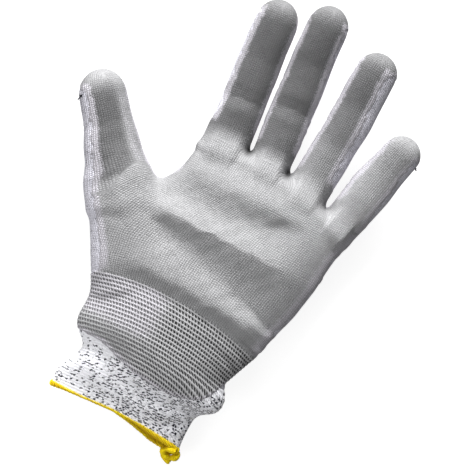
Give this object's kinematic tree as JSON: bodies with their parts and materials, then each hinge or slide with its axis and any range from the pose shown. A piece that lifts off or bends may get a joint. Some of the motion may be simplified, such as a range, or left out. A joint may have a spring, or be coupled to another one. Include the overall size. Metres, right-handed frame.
{
  "type": "cut resistant glove",
  "caption": "Left-hand knitted work glove, palm up, with a grey coated palm and fingertips, a ribbed wrist and a flecked cuff with a yellow overlocked hem; the digits and wrist bend.",
  "frame": {"origin": "centre of the flat patch under the back of the hand on which the glove rests", "axes": "+Y from the wrist towards the fingertips, +Z out of the palm, +X towards the little finger"},
  "size_m": [0.1848, 0.2587, 0.0319],
  "materials": {
    "liner_knit": "matt seamless knit in lilac white yarn with grey flecks",
    "flecked_knit": "matt rib knit in white yarn with near-black flecks",
    "pu_coating": "thin satin grey polyurethane film that shows the knit under it",
    "overlock_thread": "yellow textured overlock thread",
    "elastic_yarn": "covered elastic yarn",
    "dark_yarn": "cut end of near-black yarn"
  },
  "bodies": {
    "palm": {"palm_liner": "liner_knit", "palm_coating": "pu_coating"},
    "wrist": {"wrist_liner": "liner_knit", "wrist_coating": "pu_coating"},
    "cuff": {"cuff_liner": "flecked_knit", "cuff_elastic": "elastic_yarn", "hem_overlock": "overlock_thread", "hem_thread_tail": "overlock_thread"},
    "index_root": {"index_root_liner": "liner_knit"},
    "index_proximal": {"index_proximal_liner": "liner_knit", "index_proximal_coating": "pu_coating"},
    "index_middle": {"index_middle_liner": "liner_knit", "index_middle_coating": "pu_coating"},
    "index_tip": {"index_tip_liner": "liner_knit", "index_tip_coating": "pu_coating"},
    "middle_root": {"middle_root_liner": "liner_knit"},
    "middle_proximal": {"middle_proximal_liner": "liner_knit", "middle_proximal_coating": "pu_coating"},
    "middle_middle": {"middle_middle_liner": "liner_knit", "middle_middle_coating": "pu_coating"},
    "middle_tip": {"middle_tip_liner": "liner_knit", "middle_tip_coating": "pu_coating"},
    "ring_root": {"ring_root_liner": "liner_knit"},
    "ring_proximal": {"ring_proximal_liner": "liner_knit", "ring_proximal_coating": "pu_coating"},
    "ring_middle": {"ring_middle_liner": "liner_knit", "ring_middle_coating": "pu_coating"},
    "ring_tip": {"ring_tip_liner": "liner_knit", "ring_tip_coating": "pu_coating"},
    "little_root": {"little_root_liner": "liner_knit"},
    "little_proximal": {"little_proximal_liner": "liner_knit", "little_proximal_coating": "pu_coating"},
    "little_middle": {"little_middle_liner": "liner_knit", "little_middle_coating": "pu_coating"},
    "little_tip": {"little_tip_liner": "liner_knit", "little_tip_coating": "pu_coating", "little_yarn_tail": "dark_yarn"},
    "thumb_root": {"thumb_root_liner": "liner_knit"},
    "thumb_proximal": {"thumb_proximal_liner": "liner_knit", "thumb_proximal_coating": "pu_coating"},
    "thumb_tip": {"thumb_tip_liner": "liner_knit", "thumb_tip_coating": "pu_coating", "thumb_yarn_tail": "dark_yarn"}
  },
  "joints": [
    {"name": "wrist_flex", "type": "hinge", "parent": "palm", "child": "wrist", "pos_m": [0, -0.042, 0.0135], "axis": [-1, 0, 0], "range_deg": [-40, 40]},
    {"name": "cuff_swing", "type": "hinge", "parent": "wrist", "child": "cuff", "pos_m": [0, -0.07, 0.0125], "axis": [0, -0.0357, 0.9994], "range_deg": [-8, 12]},
    {"name": "index_splay", "type": "hinge", "parent": "palm", "child": "index_root", "pos_m": [-0.0175, 0.0593, 0.0112], "axis": [0, 0, 1], "range_deg": [-1, 10]},
    {"name": "index_base_bend", "type": "hinge", "parent": "index_root", "child": "index_proximal", "pos_m": [-0.01802, 0.06678, 0.01559], "axis": [0.9997, 0.0262, 0], "range_deg": [-10, 60]},
    {"name": "index_middle_bend", "type": "hinge", "parent": "index_proximal", "child": "index_middle", "pos_m": [-0.01921, 0.08374, 0.01688], "axis": [0.9997, 0.0262, 0], "range_deg": [-5, 80]},
    {"name": "index_tip_bend", "type": "hinge", "parent": "index_middle", "child": "index_tip", "pos_m": [-0.02071, 0.10519, 0.01999], "axis": [0.9997, 0.0262, 0], "range_deg": [-5, 40]},
    {"name": "middle_splay", "type": "hinge", "parent": "palm", "child": "middle_root", "pos_m": [0.0086, 0.06, 0.0112], "axis": [0, 0, 1], "range_deg": [-3, 1.5]},
    {"name": "middle_base_bend", "type": "hinge", "parent": "middle_root", "child": "middle_proximal", "pos_m": [0.00804, 0.06748, 0.01562], "axis": [0.9997, 0.0262, 0], "range_deg": [-10, 60]},
    {"name": "middle_middle_bend", "type": "hinge", "parent": "middle_proximal", "child": "middle_middle", "pos_m": [0.00631, 0.09041, 0.01753], "axis": [0.9997, 0.0262, 0], "range_deg": [-5, 80]},
    {"name": "middle_tip_bend", "type": "hinge", "parent": "middle_middle", "child": "middle_tip", "pos_m": [0.0044, 0.11584, 0.02128], "axis": [0.9997, 0.0262, 0], "range_deg": [-5, 45]},
    {"name": "ring_splay", "type": "hinge", "parent": "palm", "child": "ring_root", "pos_m": [0.0338, 0.0557, 0.0112], "axis": [0, 0, -1], "range_deg": [-5, 6]},
    {"name": "ring_base_bend", "type": "hinge", "parent": "ring_root", "child": "ring_proximal", "pos_m": [0.03416, 0.06369, 0.01547], "axis": [0.9998, -0.0175, 0], "range_deg": [-10, 60]},
    {"name": "ring_middle_bend", "type": "hinge", "parent": "ring_proximal", "child": "ring_middle", "pos_m": [0.03507, 0.08367, 0.01713], "axis": [0.9998, -0.0175, 0], "range_deg": [-5, 80]},
    {"name": "ring_tip_bend", "type": "hinge", "parent": "ring_middle", "child": "ring_tip", "pos_m": [0.03618, 0.10815, 0.02064], "axis": [0.9998, -0.0175, 0], "range_deg": [-5, 45]},
    {"name": "little_splay", "type": "hinge", "parent": "palm", "child": "little_root", "pos_m": [0.0579, 0.0486, 0.0112], "axis": [0, 0, -1], "range_deg": [-8, 9]},
    {"name": "little_base_bend", "type": "hinge", "parent": "little_root", "child": "little_proximal", "pos_m": [0.05959, 0.05591, 0.01495], "axis": [0.9962, -0.0872, 0], "range_deg": [-10, 60]},
    {"name": "little_middle_bend", "type": "hinge", "parent": "little_proximal", "child": "little_middle", "pos_m": [0.06307, 0.07101, 0.01607], "axis": [0.9962, -0.0872, 0], "range_deg": [-5, 80]},
    {"name": "little_tip_bend", "type": "hinge", "parent": "little_middle", "child": "little_tip", "pos_m": [0.06656, 0.08611, 0.018], "axis": [0.9962, -0.0872, 0], "range_deg": [-5, 45]},
    {"name": "thumb_swing", "type": "hinge", "parent": "palm", "child": "thumb_root", "pos_m": [-0.056, 0.011, 0.0134], "axis": [0, 0, -1], "range_deg": [-9, 9]},
    {"name": "thumb_base_bend", "type": "hinge", "parent": "thumb_root", "child": "thumb_proximal", "pos_m": [-0.06221, 0.02276, 0.01942], "axis": [0.6943, 0.5826, -0.4226], "range_deg": [-8, 45]},
    {"name": "thumb_tip_bend", "type": "hinge", "parent": "thumb_proximal", "child": "thumb_tip", "pos_m": [-0.07699, 0.04038, 0.01942], "axis": [0.6943, 0.5826, -0.4226], "range_deg": [-8, 70]}
  ]
}
